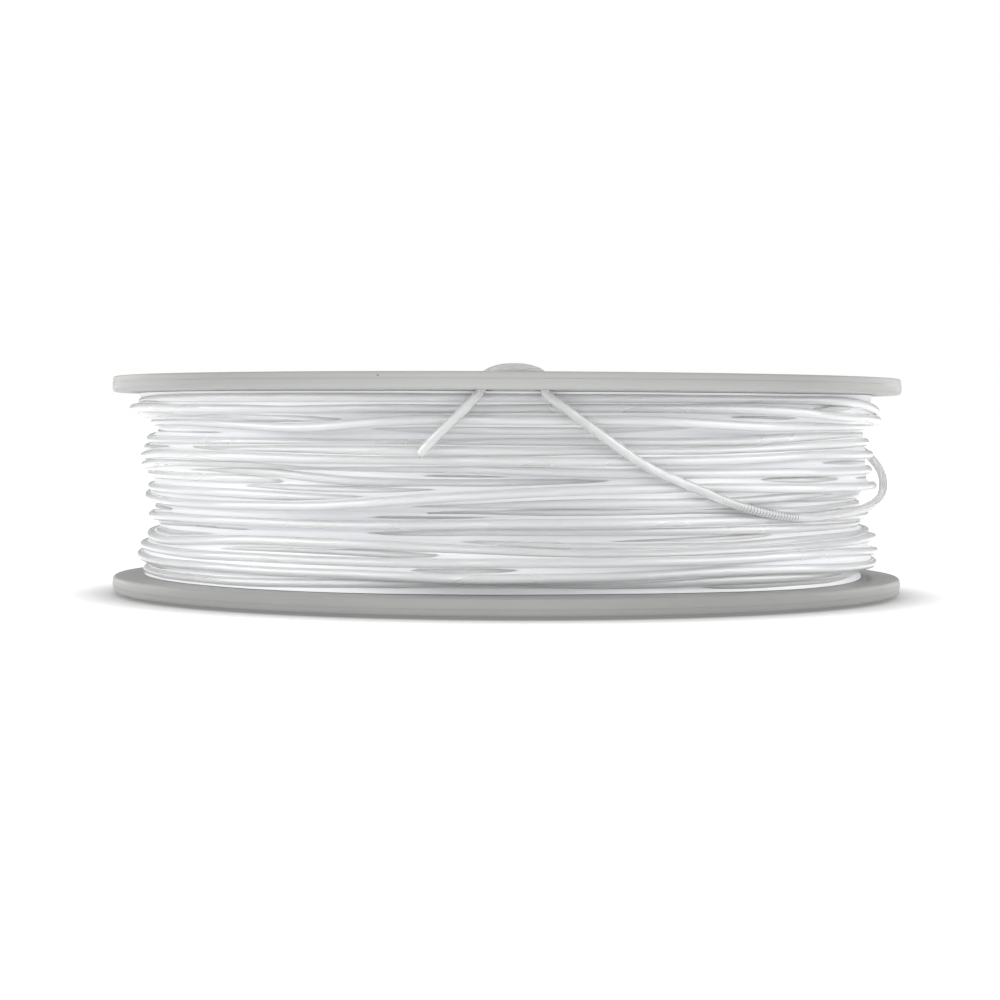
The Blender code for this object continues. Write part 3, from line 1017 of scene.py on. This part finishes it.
def make_arbor(material):
    """The slit snap sleeve that makes the bore, and the ring that locks it."""
    bead_high = SLEEVE_TOP - SNAP_BELOW_TOP
    bead_low = bead_high - SNAP_BEAD_HEIGHT
    bead_r = SLEEVE_OUTER_R + SNAP_BEAD
    sleeve = turned(
        "arbor_sleeve_moulding",
        (
            (SLEEVE_OUTER_R, SLEEVE_TOP, 0.0003),
            (SLEEVE_OUTER_R, bead_high + SNAP_BEAD_HEIGHT, 0.0001),
            (bead_r, bead_high, 0.0002),
            (bead_r, bead_low, 0.0001),
            (SLEEVE_OUTER_R, bead_low, 0.0001),
            (SLEEVE_OUTER_R, HEAD_THICKNESS, 0.0003),
            (HEAD_R, HEAD_THICKNESS, 0.0003),
            (HEAD_R, 0, 0.0004),
            (BORE_R, 0, 0.0008),
            (BORE_R, SLEEVE_TOP, 0.0005),
        ),
        160,
    )
    slits = []
    for wide, deep in ((4 * BORE_R, SLIT_WIDTH), (SLIT_WIDTH, 4 * BORE_R)):
        form = bmesh.new()
        bmesh.ops.create_cube(form, size=1)
        bmesh.ops.scale(form, vec=(wide, deep, 2 * SLIT_LENGTH), verts=form.verts)
        bmesh.ops.translate(form, vec=(0, 0, TOP), verts=form.verts)
        slit = bpy.data.meshes.new("slit")
        form.to_mesh(slit)
        form.free()
        slits.append(slit)
    sleeve = facing_out(carved(facing_out(sleeve), slits))
    add_piece("arbor_sleeve_moulding", sleeve, material, "arbor_sleeve")
    ring_inner_r = SLEEVE_OUTER_R + GAP
    groove_r = bead_r + GAP
    ring = turned(
        "arbor_lock_ring_moulding",
        (
            (HEAD_R, TOP, 0.0004),
            (HEAD_R, TOP - HEAD_THICKNESS, 0.0002),
            (ring_inner_r, TOP - HEAD_THICKNESS, 0.0001),
            (ring_inner_r, bead_low - GAP, 0.0001),
            (groove_r, bead_low - GAP, 0.0001),
            (groove_r, bead_high + GAP, 0.0001),
            (ring_inner_r, TOP, 0.0001),
        ),
        160,
    )
    add_piece("arbor_lock_ring_moulding", facing_out(ring), material, "arbor_lock_ring")


def colour_drum(material):
    """The drum stays as in the CAD model and only gets a material."""
    drum = frame["nodes"]["hub_drum"]
    drum.data.materials.clear()
    drum.data.materials.append(material)


# Studio


def add_light(name, place, towards, size, strength, lit):
    """A rectangular light that the camera doesn't see and that lights only some pieces."""
    data = bpy.data.lights.new(name, "AREA")
    data.shape = "RECTANGLE"
    data.size, data.size_y = size
    data.energy = strength * size[0] * size[1]
    light = bpy.data.objects.new(name, data)
    light.location = place
    light.rotation_euler = towards.to_track_quat("-Z", "Y").to_euler()
    light.visible_camera = False
    light.light_linking.receiver_collection = lit
    bpy.context.collection.objects.link(light)


def add_softbox(name, azimuth, elevation, distance, size, strength, lit):
    """A light that faces the spool. Azimuth counts from the camera's side."""
    flat = distance * math.cos(math.radians(elevation))
    height = distance * math.sin(math.radians(elevation)) + SPOOL_MIDDLE
    place = cylindrical(CAMERA_AZIMUTH + azimuth, flat, height)
    add_light(name, place, Vector((0, 0, SPOOL_MIDDLE)) - place, size, strength, lit)


def collection_of(name, prefixes):
    """The pieces whose names start in one of these ways."""
    made = bpy.data.collections.new(name)
    for piece in bpy.data.objects:
        if piece.type == "MESH" and piece.name.startswith(prefixes):
            made.objects.link(piece)
    return made


def make_surroundings():
    """Everything is white to the camera and gives a softer, even light."""
    world = bpy.data.worlds.new("studio")
    world.use_nodes = True
    bpy.context.scene.world = world
    tree = world.node_tree
    background = tree.nodes["Background"]
    background.inputs["Color"].default_value = (1, 1, 1, 1)
    path = tree.nodes.new("ShaderNodeLightPath")
    choice = tree.nodes.new("ShaderNodeMix")
    choice.inputs["A"].default_value = WORLD_LIGHT
    choice.inputs["B"].default_value = 1.0
    tree.links.new(path.outputs["Is Camera Ray"], choice.inputs["Factor"])
    tree.links.new(choice.outputs["Result"], background.inputs["Strength"])


def make_floor():
    """A white floor with a light of its own, dimmed under and around the spool as a painted shadow."""
    form = bmesh.new()
    bmesh.ops.create_grid(form, x_segments=1, y_segments=1, size=FLOOR_SIZE / 2)
    mesh = bpy.data.meshes.new("floor")
    form.to_mesh(mesh)
    form.free()
    floor = bpy.data.objects.new("floor", mesh)
    bpy.context.collection.objects.link(floor)
    s = Shading("white_floor")
    s.set("Base Color", (0.95, 0.95, 0.95, 1))
    s.set("Roughness", 0.9)
    s.set("Specular IOR Level", 0.1)
    s.set("Emission Color", (1, 1, 1, 1))
    place = s.node("TexCoord").outputs["Object"]
    away = s.node("VectorMath", {0: place}, operation="LENGTH").outputs["Value"]
    # Painted shadow: the glow fades to its dim near value under the spool and just around it
    glow_with_painted_shadow = s.node(
        "MapRange",
        {
            "Value": away,
            "From Min": 0.96 * FLANGE_R,
            "From Max": 1.2 * FLANGE_R,
            "To Min": FLOOR_GLOW_IN_PAINTED_SHADOW,
            "To Max": FLOOR_GLOW_FAR,
        },
        interpolation_type="SMOOTHSTEP",
    )
    s.link(glow_with_painted_shadow.outputs["Result"], "Emission Strength")
    mesh.materials.append(s.material)


def make_studio():
    """Softboxes at both sides and a narrow strip for the line; front, top and table light for the rest."""
    bpy.context.scene.view_settings.view_transform = "Standard"
    line = collection_of("line_lit", ("line_", "wound_"))
    plastic = collection_of("plastic_lit", ("lower_", "upper_", "arbor_", "hub_"))
    make_surroundings()
    make_floor()
    for softbox in LINE_SOFTBOXES:
        add_softbox(*softbox, line)
    for softbox in PLASTIC_SOFTBOXES:
        add_softbox(*softbox, plastic)
    table = cylindrical(CAMERA_AZIMUTH, TABLE_DISTANCE, TABLE_HEIGHT)
    add_light("table", table, Vector((0, 0, 1)), TABLE_SIZE, TABLE_POWER, plastic)


make_camera()
# Painted light: the free end gets paler colours than the wound turns of the same line
free_line_painted_light = line_material(
    "clear_line_free_painted_light", ((0.92, 0.932, 0.945), (0.96, 0.965, 0.97)), clarity=0.6, roughness=0.1, crazed=True
)
# Painted shade: the wound turns get darker colours than the free end of the same line
wound_line = line_material(
    "clear_line_wound_painted_shade", ((0.82, 0.836, 0.857), (0.875, 0.884, 0.895)), clarity=0.35, roughness=0.3
)
make_free_end(free_line_painted_light)
make_wound_line(wound_line, core_line_material("clear_line_core"))
make_inner_end(free_line_painted_light)
flange_plastic = moulded_plastic("flange_plastic", (0.43, 0.428, 0.418), (0.41, 0.408, 0.399), 0.36)
arbor_plastic = moulded_plastic("arbor_plastic", (0.5, 0.5, 0.49), (0.475, 0.475, 0.466), 0.36)
hub_plastic = moulded_plastic("hub_plastic", (0.4, 0.395, 0.38), (0.38, 0.375, 0.361), 0.4)
make_flanges(flange_plastic)
make_arbor(arbor_plastic)
colour_drum(hub_plastic)
make_studio()
